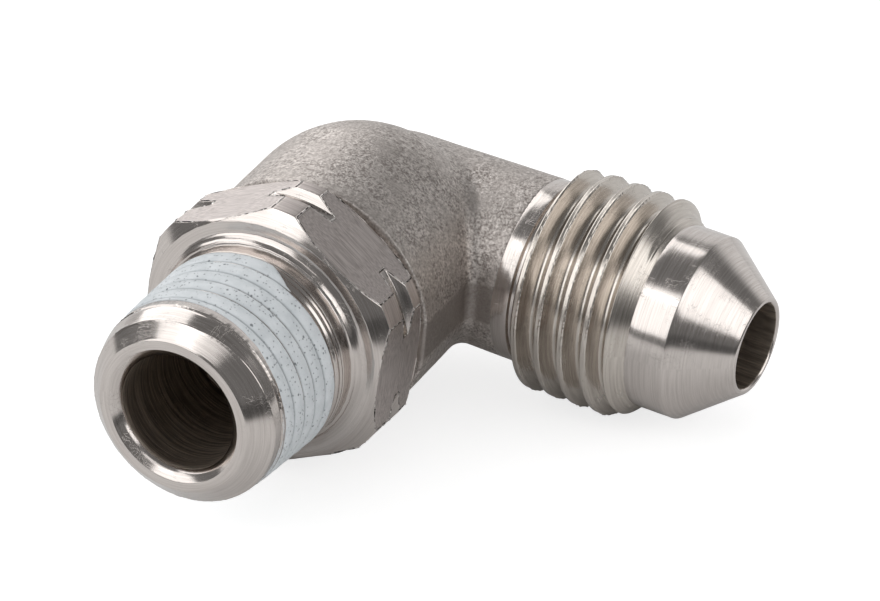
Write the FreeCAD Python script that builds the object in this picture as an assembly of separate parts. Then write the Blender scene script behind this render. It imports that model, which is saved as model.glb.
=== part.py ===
"""Ninety degree pipe adapter: taper pipe thread with a sealant film to a 37 degree flare, millimetres.

The two bores cross at the origin. The taper end points along -Y and the flare end along +X.
+Z stands square to both arms and points at one corner of the hexagon.
Each end is drawn about Z first, with Z as the distance out along its arm, and then turned to its arm.
"""

import FreeCAD, Part
import math
import os

# Forged elbow
BARREL_RADIUS = 6.65        # round barrel under the taper end
BARREL_FRONT = 9.4          # where the barrel is turned off behind the hexagon
NECK_RADIUS = 4.5           # round neck under the flare end, and its ball end at the bend
NECK_DRAFT = 1.1            # half angle by which the neck widens towards the flare end
DOME_PAST_NECK = 0.25       # the barrel's round end starts this far beyond the neck's side
BEND_FILLET = 1.3           # hollow between barrel and neck
FLASH_LAND = 2.2            # width of the lands left where the forging flash was trimmed

# Spanner hexagon, turned and milled from the same forging
ACROSS_FLATS = 12.6
ACROSS_CORNERS = 13.76      # the corners are turned off round
HEX_FRONT = 13.84           # shoulder face, out along the taper arm
HEX_FRONT_CHAMFER = 1.0     # axial length of the long chamfer in front
HEX_REAR_CHAMFER = 0.4      # axial length of the short chamfer behind
HEX_UNDERCUT = 0.2          # axial length of the cut that parts the hexagon from the barrel
CORNER_GROOVE_SHARE = 0.41  # place of the groove round the corners, as a share of the length
CORNER_GROOVE_WIDTH = 1.08
CORNER_GROOVE_FLOOR = 0.48
CORNER_GROOVE_DEPTH = 0.42

# Taper pipe thread, 28 turns to the inch on a taper of 1 in 16
TAPER_END = 22.33           # end face, out along the taper arm
TAPER_MAJOR = 9.478         # diameter over the thread at the end face
TAPER_PITCH = 25.4 / 28
TAPER_DEPTH = 0.58
TAPER_SLOPE = 1 / 32        # growth of radius for each millimetre in from the end face
END_CHAMFER = 0.77          # leg of the 45 degree chamfer on the end
RELIEF_WIDTH = 1.1          # from the shoulder face to the last turn of the thread
RELIEF_UNDER_ROOT = 0.05    # the relief groove is this much deeper than the thread
STEP_HEIGHT = 0.26          # low ring turned on the shoulder face round the relief groove
STEP_WIDTH = 0.6
STEP_SLOPE_WIDTH = 0.6

# Sealant film, laid into and over the turns of the taper thread
FILM_LEAD = 2.35            # bare metal between the end face and the film
FILM_BED = 0.25             # the film reaches this far under the crests
FILM_COVER = 0.06           # and stands this far over them
FILM_CREASE_DEPTH = 0.14    # the film sinks a little between one turn and the next
FILM_CREASE_PLACE = 0.8     # first crease behind the film's front edge

# Flare end, with a thread of 20 turns to the inch
FLARE_END = 20.0            # tip, out along the flare arm
SEAT_ANGLE = 37.0           # half angle of the seat
SEAT_LIP = 0.3              # wall left at the tip
NOSE_LENGTH = 2.0           # plain cylinder behind the seat
NOSE_UNDER_ROOT = 0.1       # the cylinder clears the root of the thread by this much
FLARE_MAJOR = 11.11
FLARE_PITCH = 25.4 / 20
FLARE_THREAD_ANGLE = 60.0
FLARE_THREAD_LENGTH = 6.05  # from the nose cylinder back to the relief groove
FLARE_RELIEF_WIDTH = 0.25
FLARE_RELIEF_DEPTH = 0.2    # under the turned ring
FLARE_RING_WIDTH = 0.95     # ring turned on the end of the neck

# Bores
TAPER_BORE = 6.06
TAPER_COUNTERSINK = 0.48    # leg of the 45 degree chamfer in its mouth
FLARE_BORE = 4.4
DRILL_PAST = 0.8            # full width of the wider bore beyond the crossing
DRILL_POINT = 118.0

# Worked out from the sizes above
CLEAR = 1.0                 # how far a blank or a cutting solid runs on into its neighbour
CUT_OVER = 0.05             # the same for the thread groove, which must not meet its next turn
NECK_SLOPE = math.tan(math.radians(NECK_DRAFT))
FLARE_CREST = FLARE_MAJOR / 2
FLARE_DEPTH = 0.6134 * FLARE_PITCH
FLARE_ROOT = FLARE_CREST - FLARE_DEPTH
NOSE_RADIUS = FLARE_ROOT - NOSE_UNDER_ROOT
LIP_RADIUS = FLARE_BORE / 2 + SEAT_LIP
SEAT_BASE = FLARE_END - (NOSE_RADIUS - LIP_RADIUS) / math.tan(math.radians(SEAT_ANGLE))
NOSE_BACK = SEAT_BASE - NOSE_LENGTH
FLARE_THREAD_BACK = NOSE_BACK - FLARE_THREAD_LENGTH
RING_FRONT = FLARE_THREAD_BACK - FLARE_RELIEF_WIDTH
RING_BACK = RING_FRONT - FLARE_RING_WIDTH
RING_RADIUS = NECK_RADIUS / math.cos(math.radians(NECK_DRAFT)) + NECK_SLOPE * RING_BACK
DOME_CENTRE = RING_RADIUS + DOME_PAST_NECK
HEX_REAR = BARREL_FRONT + HEX_UNDERCUT
TAPER_BACK = HEX_FRONT + RELIEF_WIDTH
TAPER_CHAMFER_BACK = TAPER_END - END_CHAMFER
FILM_FRONT = TAPER_END - FILM_LEAD

ORIGIN = FreeCAD.Vector(0, 0, 0)
ALONG_X = FreeCAD.Vector(1, 0, 0)
ALONG_Y = FreeCAD.Vector(0, 1, 0)
ALONG_Z = FreeCAD.Vector(0, 0, 1)


def place(along, radius):
    """Corner of an outline that is turned about Z."""
    return FreeCAD.Vector(radius, 0, along)


def turned(corners, curves=()):
    """Solid turned about Z from curves, then corners in order, closed back to the start."""
    start = curves[0].firstVertex(True).Point if curves else corners[0]
    lines = Part.makePolygon(list(corners) + [start]).Edges
    return Part.Face(Part.Wire(list(curves) + lines)).revolve(ORIGIN, ALONG_Z, 360)


def ball_arc(centre, radius, end_angle):
    """Arc of a ball about Z from its inner pole to an angle from the plane of its centre."""
    angles = (-90, (end_angle - 90) / 2, end_angle)
    points = [
        place(centre + radius * math.sin(math.radians(a)), radius * math.cos(math.radians(a)))
        for a in angles
    ]
    return Part.Arc(*points).toShape()


def to_taper_arm(shape):
    """Turn a shape made about Z so that its Z points along -Y."""
    shape.rotate(ORIGIN, ALONG_X, 90)
    return shape


def to_flare_arm(shape):
    """Turn a shape made about Z so that its Z points along +X."""
    shape.rotate(ORIGIN, ALONG_Y, 90)
    return shape


def thread_groove(root, depth, length, pitch, angle, root_flat):
    """Right-handed groove about Z, from zero to length."""
    spine = Part.makeHelix(pitch, length, root)
    outer = root + depth + CUT_OVER
    half_root = root_flat / 2
    half_outer = half_root + (outer - root) * math.tan(math.radians(angle / 2))
    profile = Part.makePolygon([
        place(-half_root, root),
        place(half_root, root),
        place(half_outer, outer),
        place(-half_outer, outer),
        place(-half_root, root),
    ])
    return Part.Wire(spine).makePipeShell([profile], True, True)


def taper_crest(along):
    """Crest radius of the taper thread at a distance out along its arm."""
    return TAPER_MAJOR / 2 + (TAPER_END - along) * TAPER_SLOPE


def barrel():
    """Round barrel of the forging, with a dome on its inner end."""
    dome = ball_arc(DOME_CENTRE, BARREL_RADIUS, 0)
    return turned(
        [place(DOME_CENTRE, BARREL_RADIUS), place(BARREL_FRONT, BARREL_RADIUS), place(BARREL_FRONT, 0)],
        [dome])


def neck():
    """Drafted neck of the forging, tangent to its ball end at the bend."""
    ball = ball_arc(0, NECK_RADIUS, -NECK_DRAFT)
    draft = math.radians(NECK_DRAFT)
    touch = place(-NECK_RADIUS * math.sin(draft), NECK_RADIUS * math.cos(draft))
    return turned([touch, place(RING_BACK, RING_RADIUS), place(RING_BACK, 0)], [ball])


def crossing_edges(joined, first, second):
    """Edges of a joined solid that lie on the skin of both solids that it was joined from."""
    edges = []
    for edge in joined.Edges:
        if edge.Length < CLEAR / 10:
            continue
        middle = Part.Vertex(edge.valueAt((edge.FirstParameter + edge.LastParameter) / 2))
        if all(middle.distToShape(solid.Shells[0])[0] < 0.001 for solid in (first, second)):
            edges.append(edge)
    return edges


def forging():
    """Barrel and neck blended into each other, with the flash trimmed flat along both."""
    taper_side = to_taper_arm(barrel())
    flare_side = to_flare_arm(neck())
    joined = taper_side.fuse(flare_side)
    elbow = joined.makeFillet(BEND_FILLET, crossing_edges(joined, taper_side, flare_side))
    half = FLASH_LAND / 2
    barrel_land = math.sqrt(BARREL_RADIUS ** 2 - half ** 2)
    neck_land = math.sqrt(NECK_RADIUS ** 2 - half ** 2)
    trims = []
    for side in (0, 180):
        barrel_trim = Part.makeBox(CLEAR, BARREL_FRONT - DOME_CENTRE, FLASH_LAND)
        barrel_trim.translate(FreeCAD.Vector(barrel_land, -BARREL_FRONT, -half))
        barrel_trim.rotate(ORIGIN, ALONG_Y, side)
        neck_trim = Part.makeBox(RING_BACK - NECK_RADIUS, CLEAR, FLASH_LAND)
        neck_trim.translate(FreeCAD.Vector(NECK_RADIUS, neck_land, -half))
        neck_trim.rotate(ORIGIN, ALONG_X, side)
        trims += [barrel_trim, neck_trim]
    return elbow.cut(trims)


def hexagon():
    """Hexagon with its corners, chamfers and corner groove turned, and its six flats milled."""
    flat = ACROSS_FLATS / 2
    corner = ACROSS_CORNERS / 2
    groove = HEX_REAR + CORNER_GROOVE_SHARE * (HEX_FRONT - HEX_REAR)
    half = CORNER_GROOVE_WIDTH / 2
    floor = CORNER_GROOVE_FLOOR / 2
    blank = turned([
        place(BARREL_FRONT - CLEAR, 0),
        place(BARREL_FRONT - CLEAR, flat),
        place(HEX_REAR, flat),
        place(HEX_REAR + HEX_REAR_CHAMFER, corner),
        place(groove - half, corner),
        place(groove - floor, corner - CORNER_GROOVE_DEPTH),
        place(groove + floor, corner - CORNER_GROOVE_DEPTH),
        place(groove + half, corner),
        place(HEX_FRONT - HEX_FRONT_CHAMFER, corner),
        place(HEX_FRONT, flat),
        place(HEX_FRONT, 0),
    ])
    reach = ACROSS_FLATS / math.sqrt(3)
    angles = [math.radians(60 * side + 30) for side in range(7)]
    outline = [FreeCAD.Vector(reach * math.cos(a), reach * math.sin(a), 0) for a in angles]
    return blank.common(Part.Face(Part.makePolygon(outline)).extrude(ALONG_Z * TAPER_END))


def taper_end():
    """Ring on the shoulder face, relief groove, bed for the film, bare nose and end chamfer."""
    relief = taper_crest(TAPER_BACK) - TAPER_DEPTH - RELIEF_UNDER_ROOT
    step = HEX_FRONT + STEP_HEIGHT
    top = relief + STEP_WIDTH
    return turned([
        place(step, relief),
        place(TAPER_BACK, relief),
        place(TAPER_BACK, taper_crest(TAPER_BACK) - FILM_BED),
        place(FILM_FRONT, taper_crest(FILM_FRONT) - FILM_BED),
        place(FILM_FRONT, taper_crest(FILM_FRONT)),
        place(TAPER_CHAMFER_BACK, taper_crest(TAPER_CHAMFER_BACK)),
        place(TAPER_END, taper_crest(TAPER_CHAMFER_BACK) - END_CHAMFER),
        place(TAPER_END, 0),
        place(HEX_FRONT - CLEAR, 0),
        place(HEX_FRONT - CLEAR, top + STEP_SLOPE_WIDTH),
        place(HEX_FRONT, top + STEP_SLOPE_WIDTH),
        place(step, top),
    ])


def film():
    """Sealant sleeve on the taper thread, with a crease between one turn and the next."""
    def skin(along, sunk=0.0):
        return place(along, taper_crest(along) + FILM_COVER - sunk)

    corners = [
        place(FILM_FRONT, taper_crest(FILM_FRONT) - FILM_BED),
        skin(FILM_FRONT, FILM_COVER),
    ]
    crease = FILM_FRONT - FILM_CREASE_PLACE
    while crease > TAPER_BACK + TAPER_PITCH / 2:
        corners += [skin(crease + TAPER_PITCH / 2), skin(crease, FILM_CREASE_DEPTH)]
        crease -= TAPER_PITCH
    corners += [
        skin(crease + TAPER_PITCH / 2),
        skin(TAPER_BACK, FILM_COVER),
        place(TAPER_BACK, taper_crest(TAPER_BACK) - FILM_BED),
    ]
    return turned(corners)


def flare_end():
    """Turned ring, relief groove, straight thread, plain nose and flare seat."""
    relief = RING_RADIUS - FLARE_RELIEF_DEPTH
    chamfer = FLARE_CREST - NOSE_RADIUS
    rise = (FLARE_CREST - relief) * math.tan(math.radians(FLARE_THREAD_ANGLE / 2))
    blank = turned([
        place(RING_BACK, 0),
        place(RING_BACK, RING_RADIUS),
        place(RING_FRONT, RING_RADIUS),
        place(RING_FRONT, relief),
        place(FLARE_THREAD_BACK, relief),
        place(FLARE_THREAD_BACK + rise, FLARE_CREST),
        place(NOSE_BACK - chamfer, FLARE_CREST),
        place(NOSE_BACK, NOSE_RADIUS),
        place(SEAT_BASE, NOSE_RADIUS),
        place(FLARE_END, LIP_RADIUS),
        place(FLARE_END, 0),
    ])
    back = FLARE_THREAD_BACK - FLARE_PITCH
    groove = thread_groove(
        FLARE_ROOT, FLARE_DEPTH, NOSE_BACK - back, FLARE_PITCH, FLARE_THREAD_ANGLE, FLARE_PITCH / 6)
    groove.translate(ALONG_Z * back)
    return blank.cut(groove)


def bores():
    """The two drilled ways, the wider one with its drill point beyond the crossing."""
    radius = TAPER_BORE / 2
    point = radius / math.tan(math.radians(DRILL_POINT / 2))
    wide = turned([
        place(-DRILL_PAST - point, 0),
        place(-DRILL_PAST, radius),
        place(TAPER_END - TAPER_COUNTERSINK, radius),
        place(TAPER_END + CLEAR, radius + TAPER_COUNTERSINK + CLEAR),
        place(TAPER_END + CLEAR, 0),
    ])
    narrow = Part.makeCylinder(FLARE_BORE / 2, FLARE_END + CLEAR)
    return [to_taper_arm(wide), to_flare_arm(narrow)]


def elbow_body():
    """The whole metal piece: one forging, turned, milled, threaded and drilled."""
    solids = [to_taper_arm(hexagon()), to_taper_arm(taper_end()), to_flare_arm(flare_end())]
    return forging().fuse(solids).cut(bores())


def main():
    """Write one STEP file for each piece."""
    os.makedirs("parts", exist_ok=True)
    pieces = {"elbow_body": elbow_body(), "thread_sealant": to_taper_arm(film())}
    for name, shape in pieces.items():
        solid = shape.Solids[0]
        print(name, len(shape.Solids), "solid, valid", solid.isValid(), round(solid.Volume, 2), "mm3")
        solid.exportStep(f"parts/{name}.step")


main()
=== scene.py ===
import math

import bmesh
import bpy
import numpy as np
from mathutils import Matrix, Vector


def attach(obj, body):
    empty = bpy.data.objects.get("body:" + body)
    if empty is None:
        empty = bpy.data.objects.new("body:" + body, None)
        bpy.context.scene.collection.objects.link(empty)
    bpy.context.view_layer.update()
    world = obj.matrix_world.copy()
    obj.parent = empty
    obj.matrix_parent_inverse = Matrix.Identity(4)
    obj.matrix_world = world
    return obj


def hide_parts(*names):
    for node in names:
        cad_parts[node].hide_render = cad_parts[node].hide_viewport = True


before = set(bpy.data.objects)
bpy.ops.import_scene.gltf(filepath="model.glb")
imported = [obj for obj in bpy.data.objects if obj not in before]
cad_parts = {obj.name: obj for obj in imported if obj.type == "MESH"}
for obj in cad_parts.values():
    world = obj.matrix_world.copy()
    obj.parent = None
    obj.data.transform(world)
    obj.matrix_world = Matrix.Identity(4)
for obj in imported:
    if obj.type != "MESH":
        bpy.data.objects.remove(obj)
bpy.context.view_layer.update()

# Camera: a long lens a third of a metre away, 25 degrees round from the taper end and 31 degrees up,
# rolled a little because the part leans as it lies.
SENSOR_WIDTH, LENS, CLIP_START = 36.0, 318.15, 0.01
CAMERA_AT = (0.14508, -0.29814, 0.19779)

camera_data = bpy.data.cameras.new("camera")
camera_data.sensor_width = SENSOR_WIDTH
camera_data.lens = LENS
camera_data.clip_start = CLIP_START
camera = bpy.data.objects.new("camera", camera_data)
right, up, back = (0.87612, 0.47480, 0.08360), (-0.31162, 0.42541, 0.84966), (0.36785, -0.77045, 0.52067)
turned_to_part = Matrix((right, up, back)).transposed().to_4x4()
camera.matrix_world = Matrix.Translation(CAMERA_AT) @ turned_to_part
bpy.context.scene.collection.objects.link(camera)
bpy.context.scene.camera = camera
bpy.context.scene.view_settings.view_transform = "Standard"


def add(tree, kind, *values, out=0, named=None, **settings):
    """Add a node with its settings; values or links go to its inputs in order, or by name."""
    node = tree.nodes.new(kind)
    for key, value in settings.items():
        setattr(node, key, value)
    for key, value in [*enumerate(values), *(named or {}).items()]:
        if isinstance(value, bpy.types.NodeSocket):
            tree.links.new(value, node.inputs[key])
        elif value is not None:
            node.inputs[key].default_value = value
    return node.outputs[out] if node.outputs else node


# Studio floor: matt white paper under the part, which lies on a hexagon corner and its flare thread and
# leans six degrees towards the flare end. The camera sees the paper lifted to white, with a faint
# shadow. The metal mirrors the bare paper, and a dark table past the paper's edge at the front right.
REST_NORMAL = Vector((-0.1018, 0.0, 0.9948))
REST_DEPTH = 0.00705
FLOOR_HALF = 1.2
TO_FRONT_RIGHT, PAPER_EDGE, EDGE_BLUR = (0.84, -0.54, 0.0), 0.050, 0.010
PAPER_LIT, PAPER_SEEN, PAPER_GLOW = 0.80, 0.42, 0.76
PAPER_MIRRORED, TABLE_MIRRORED = 0.70, 0.08

across = Vector((REST_NORMAL.z, 0.0, -REST_NORMAL.x))
along = REST_NORMAL.cross(across)
floor_mesh = bpy.data.meshes.new("paper_floor")
floor_mesh.from_pydata(
    [across * (a * FLOOR_HALF) + along * (b * FLOOR_HALF) - REST_NORMAL * REST_DEPTH
     for a, b in ((-1, -1), (1, -1), (1, 1), (-1, 1))], [], [(0, 1, 2, 3)])
floor = bpy.data.objects.new("paper_floor", floor_mesh)
bpy.context.scene.collection.objects.link(floor)

paper = bpy.data.materials.new("matt_white_paper")
paper.use_nodes = True
tree = paper.node_tree
tree.nodes.clear()
ray = add(tree, "ShaderNodeLightPath").node.outputs
place = add(tree, "ShaderNodeTexCoord", out=3)
to_right = add(tree, "ShaderNodeVectorMath", place, TO_FRONT_RIGHT, out=1, operation="DOT_PRODUCT")
paper_tone = add(tree, "ShaderNodeMapRange", to_right, PAPER_EDGE - EDGE_BLUR, PAPER_EDGE,
                 PAPER_MIRRORED, TABLE_MIRRORED)
mirrored = add(tree, "ShaderNodeBsdfDiffuse", paper_tone)
matt = add(tree, "ShaderNodeBsdfDiffuse", [PAPER_LIT] * 3 + [1])
seen = add(tree, "ShaderNodeBsdfDiffuse", [PAPER_SEEN] * 3 + [1])
glow = add(tree, "ShaderNodeEmission", (1, 1, 1, 1), PAPER_GLOW)
lit = add(tree, "ShaderNodeAddShader", seen, glow)
unseen = add(tree, "ShaderNodeMixShader", ray["Is Glossy Ray"], matt, mirrored)
surface = add(tree, "ShaderNodeMixShader", ray["Is Camera Ray"], unseen, lit)
add(tree, "ShaderNodeOutputMaterial", surface)
floor_mesh.materials.append(paper)

# Studio room: white behind the part for the camera, a dim room with a pale wall low down behind the
# part for what the metal mirrors, and an even fill for matt surfaces.
TO_WALL, WALL_SIDE, WALL_TOP = (-0.26, 0.966, 0.0), (0.50, 0.84), (0.40, 0.66)
ROOM_SHADE, WALL_SHADE, FILL_SHADE, WHITE = 0.18, 0.76, 0.52, 1.0

world = bpy.data.worlds.new("studio")
bpy.context.scene.world = world
world.use_nodes = True
tree = world.node_tree
tree.nodes.clear()
ray = add(tree, "ShaderNodeLightPath").node.outputs
direction = add(tree, "ShaderNodeTexCoord")
height = add(tree, "ShaderNodeSeparateXYZ", direction, out=2)
toward_wall = add(tree, "ShaderNodeVectorMath", direction, TO_WALL, out=1, operation="DOT_PRODUCT")
behind = add(tree, "ShaderNodeMapRange", toward_wall, *WALL_SIDE, interpolation_type="SMOOTHSTEP")
low = add(tree, "ShaderNodeMapRange", height, *WALL_TOP, 1.0, 0.0, interpolation_type="SMOOTHSTEP")
wall = add(tree, "ShaderNodeMath", behind, low, operation="MULTIPLY")
shade = add(tree, "ShaderNodeMapRange", wall, 0.0, 1.0, ROOM_SHADE, WALL_SHADE)
room = add(tree, "ShaderNodeBackground", (1, 1, 1, 1), shade)
fill = add(tree, "ShaderNodeBackground", (1, 1, 1, 1), FILL_SHADE)
white = add(tree, "ShaderNodeBackground", (1, 1, 1, 1), WHITE)
lit = add(tree, "ShaderNodeMixShader", ray["Is Diffuse Ray"], room, fill)
surface = add(tree, "ShaderNodeMixShader", ray["Is Camera Ray"], lit, white)
add(tree, "ShaderNodeOutputWorld", surface)

# Soft boxes round the part, all at one distance. Each row holds a name, the azimuth from the taper end
# and the elevation in degrees, the width and height in metres, and the radiance.
SOFT_BOXES = [
    ("box_front_left", -34, 28.5, 0.50, 0.52, 1.40),
    ("box_front_top", -4, 54, 0.50, 0.14, 1.00),
    ("box_side_left", -112, 36, 0.68, 0.56, 1.45),
    ("box_right", 86, 34, 0.50, 0.34, 1.45),
]
BOX_DISTANCE = 0.6
for name, azimuth, elevation, width, height, radiance in SOFT_BOXES:
    a, e = math.radians(azimuth), math.radians(elevation)
    lamp_data = bpy.data.lights.new(name, "AREA")
    lamp_data.shape = "RECTANGLE"
    lamp_data.size, lamp_data.size_y = width, height
    lamp_data.energy = radiance * math.pi * width * height
    lamp = bpy.data.objects.new(name, lamp_data)
    toward = Vector((math.sin(a) * math.cos(e), -math.cos(a) * math.cos(e), math.sin(e)))
    lamp.location = toward * BOX_DISTANCE
    lamp.rotation_euler = lamp.location.to_track_quat("Z", "Y").to_euler()
    bpy.context.scene.collection.objects.link(lamp)

# Forged elbow: one hot forging in brass, a round-ended barrel under the taper end and a drafted neck
# under the flare end, with a hollow blend at the bend and flat lands where the flash was trimmed. It is
# blasted to a fine grain, nickel-plated over the grain, and drilled from both ends.
MM = 0.001
BARREL_R, BARREL_LEAN, BARREL_CROSSING, DOME_AT = 6.53, 3.0, 6.2, 3.90
NECK_R, NECK_DRAFT = 4.50, 1.1
BEND_R, LAND_HALF = 0.55, 1.1
BARREL_FACE, NECK_FACE = 9.40, 7.80
WIDE_BORE_R, NARROW_BORE_R = 3.03, 2.20
DRILL_END, DRILL_HALF_ANGLE = 0.8, 59.0
GRAIN_HEIGHT, UNEVENNESS = 0.026, 0.03
VOXEL = 0.12
SOFT_SPAN, BORE_SKIN = 6 * VOXEL, 0.2
SOLID_LOW, SOLID_HIGH = (-7.1, -9.7, -7.0), (8.1, 5.0, 7.0)


def linear(code):
    """Linear colour from an sRGB hex value."""
    parts = [int(code[i:i + 2], 16) / 255 for i in (0, 2, 4)]
    return [p / 12.92 if p <= 0.04045 else ((p + 0.055) / 1.055) ** 2.4 for p in parts] + [1.0]


# Blasted nickel plate: a dull neutral grey with a fine grain of bright and dark specks, stronger in
# patches, and smoother where the flash was trimmed, darker there on the neck. The grain is drawn 0.1
# to 0.3 mm wide, a little coarser than grit leaves it, so that it shows.
blasted = bpy.data.materials.new("blasted_nickel_plate")
blasted.use_nodes = True
tree = blasted.node_tree
tree.nodes.clear()
place = add(tree, "ShaderNodeTexCoord", out=3)
in_mm = add(tree, "ShaderNodeVectorMath", place, named={"Scale": 1 / MM}, operation="SCALE")
coarse = add(tree, "ShaderNodeTexNoise", in_mm, named={"Scale": 3.4, "Detail": 4.0, "Roughness": 0.7})
fine = add(tree, "ShaderNodeTexNoise", in_mm, named={"Scale": 8.0, "Detail": 2.0, "Roughness": 0.6})
grain = add(tree, "ShaderNodeMath", coarse, 0.5, operation="MULTIPLY")
grain = add(tree, "ShaderNodeMath", fine, 0.5, grain, operation="MULTIPLY_ADD")
patches = add(tree, "ShaderNodeTexNoise", in_mm, named={"Scale": 0.45, "Detail": 2.0})
strength = add(tree, "ShaderNodeMapRange", patches, 0.36, 0.58, 0.60, 1.5)
grain = add(tree, "ShaderNodeMath", grain, 0.5, operation="SUBTRACT")
grain = add(tree, "ShaderNodeMath", grain, strength, 0.5, operation="MULTIPLY_ADD")
tone = add(tree, "ShaderNodeValToRGB", grain)
low_tone, high_tone = tone.node.color_ramp.elements
low_tone.position, low_tone.color = 0.38, linear("9C948F")
high_tone.position, high_tone.color = 0.62, linear("DED7D2")
dull = add(tree, "ShaderNodeMapRange", fine, 0.35, 0.65, 0.58, 0.44)
split = add(tree, "ShaderNodeSeparateXYZ", in_mm).node.outputs
off_parting = add(tree, "ShaderNodeMath", split["Z"], operation="ABSOLUTE")
trimmed = add(tree, "ShaderNodeMapRange", off_parting, LAND_HALF - 0.15, LAND_HALF + 0.05, 0.85, 0.0)
on_neck = add(tree, "ShaderNodeMapRange", split["X"], BARREL_R - 0.33, BARREL_R - 0.03)
land_tone = add(tree, "ShaderNodeMix", on_neck, out=2, data_type="RGBA",
                named={6: linear("BFB7B2"), 7: linear("A29A95")})
tone = add(tree, "ShaderNodeMix", trimmed, out=2, data_type="RGBA", named={6: tone, 7: land_tone})
bump = add(tree, "ShaderNodeBump", named={"Height": grain, "Strength": 1.0, "Distance": 0.000045})
shader = add(tree, "ShaderNodeBsdfPrincipled", tone, 1.0, dull, named={"Normal": bump})
add(tree, "ShaderNodeOutputMaterial", shader)

# Drilled brass inside the bores, where the plate hardly reaches: brown from the bare brass, and darker as
# painted shade for the depth of the bore, with the drill's rings about 0.14 mm apart in the wide bore
# and streaks along the narrow one.
bore_brass_and_shade = bpy.data.materials.new("drilled_brass_painted_bore_shade")
bore_brass_and_shade.use_nodes = True
tree = bore_brass_and_shade.node_tree
tree.nodes.clear()
place = add(tree, "ShaderNodeTexCoord", out=3)
in_mm = add(tree, "ShaderNodeVectorMath", place, named={"Scale": 1 / MM}, operation="SCALE")
rings = add(tree, "ShaderNodeVectorMath", in_mm, (0.30, 7.0, 0.30), operation="MULTIPLY")
marks = add(tree, "ShaderNodeTexNoise", rings, named={"Scale": 1.0, "Detail": 3.0, "Roughness": 0.7})
tone = add(tree, "ShaderNodeValToRGB", marks)
low_tone, high_tone = tone.node.color_ramp.elements
# The brown is the brass; both tones are darkened as painted shade for the depth of the bore.
low_tone.position, low_tone.color = 0.38, linear("92877D")
high_tone.position, high_tone.color = 0.66, linear("CFC3B6")
bump = add(tree, "ShaderNodeBump", named={"Height": marks, "Strength": 1.0, "Distance": 0.00005})
shader = add(tree, "ShaderNodeBsdfPrincipled", tone, 1.0, 0.50, named={"Normal": bump})
add(tree, "ShaderNodeOutputMaterial", shader)

elbow_tree = bpy.data.node_groups.new("forged_elbow", "GeometryNodeTree")
for name, default in (
        ("Barrel Radius", BARREL_R), ("Neck Radius", NECK_R), ("Bend Radius", BEND_R),
        ("Land Half Width", LAND_HALF), ("Grain Height", GRAIN_HEIGHT), ("Unevenness", UNEVENNESS)):
    socket = elbow_tree.interface.new_socket(name, in_out="INPUT", socket_type="NodeSocketFloat")
    socket.default_value = default
elbow_tree.interface.new_socket("Geometry", in_out="OUTPUT", socket_type="NodeSocketGeometry")
t = elbow_tree
size = t.nodes.new("NodeGroupInput").outputs

# Every place in a box gets its distance to the metal in millimetres, which is negative inside.
place = add(t, "GeometryNodeInputPosition")
in_mm = add(t, "ShaderNodeVectorMath", place, named={"Scale": 1 / MM}, operation="SCALE")
x, y, z = add(t, "ShaderNodeSeparateXYZ", in_mm).node.outputs
station = add(t, "ShaderNodeMath", y, -1.0, operation="MULTIPLY")

# Barrel: round about its leaning axis, and closed by a ball dome behind the bend.
leant = add(t, "ShaderNodeVectorRotate", in_mm, (0.0, -BARREL_CROSSING, 0.0),
            named={"Angle": math.radians(-BARREL_LEAN)}, rotation_type="Z_AXIS")
bx, by, bz = add(t, "ShaderNodeSeparateXYZ", leant).node.outputs
over_dome = add(t, "ShaderNodeMath", by, -1.0, -DOME_AT, operation="MULTIPLY_ADD")
over_dome = add(t, "ShaderNodeMath", over_dome, 0.0, operation="MINIMUM")
from_axis = add(t, "ShaderNodeCombineXYZ", bx, over_dome, bz)
barrel = add(t, "ShaderNodeVectorMath", from_axis, out=1, operation="LENGTH")
barrel = add(t, "ShaderNodeMath", barrel, size["Barrel Radius"], operation="SUBTRACT")

# Neck: a little wider towards the flare end by its draft, and closed by a ball inside the barrel.
past = add(t, "ShaderNodeMath", x, 0.0, operation="MAXIMUM")
neck_r = add(t, "ShaderNodeMath", past, math.tan(math.radians(NECK_DRAFT)), size["Neck Radius"],
             operation="MULTIPLY_ADD")
inside = add(t, "ShaderNodeMath", x, 0.0, operation="MINIMUM")
from_axis = add(t, "ShaderNodeCombineXYZ", inside, y, z)
neck = add(t, "ShaderNodeVectorMath", from_axis, out=1, operation="LENGTH")
neck = add(t, "ShaderNodeMath", neck, neck_r, operation="SUBTRACT")

# Lands: each arm is cut flat on both sides, where its flash was trimmed.
half_squared = add(t, "ShaderNodeMath", size["Land Half Width"], size["Land Half Width"],
                   operation="MULTIPLY")
less = add(t, "ShaderNodeMath", half_squared, -1.0, operation="MULTIPLY")
flattened = []
for arm, radius, side in ((barrel, size["Barrel Radius"], bx), (neck, neck_r, y)):
    land = add(t, "ShaderNodeMath", radius, radius, less, operation="MULTIPLY_ADD")
    land = add(t, "ShaderNodeMath", land, operation="SQRT")
    off = add(t, "ShaderNodeMath", side, operation="ABSOLUTE")
    off = add(t, "ShaderNodeMath", off, land, operation="SUBTRACT")
    flattened.append(add(t, "ShaderNodeMath", arm, off, operation="MAXIMUM"))

# Bend: the two arms are joined by a hollow of the bend radius.
nearer = add(t, "ShaderNodeMath", *flattened, operation="MINIMUM")
outside = add(t, "ShaderNodeMath", nearer, size["Bend Radius"], operation="MAXIMUM")
hollow = []
for arm in flattened:
    near = add(t, "ShaderNodeMath", size["Bend Radius"], arm, operation="SUBTRACT")
    hollow.append(add(t, "ShaderNodeMath", near, 0.0, operation="MAXIMUM"))
hollow = add(t, "ShaderNodeCombineXYZ", *hollow)
hollow = add(t, "ShaderNodeVectorMath", hollow, out=1, operation="LENGTH")
skin = add(t, "ShaderNodeMath", outside, hollow, operation="SUBTRACT")

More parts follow.
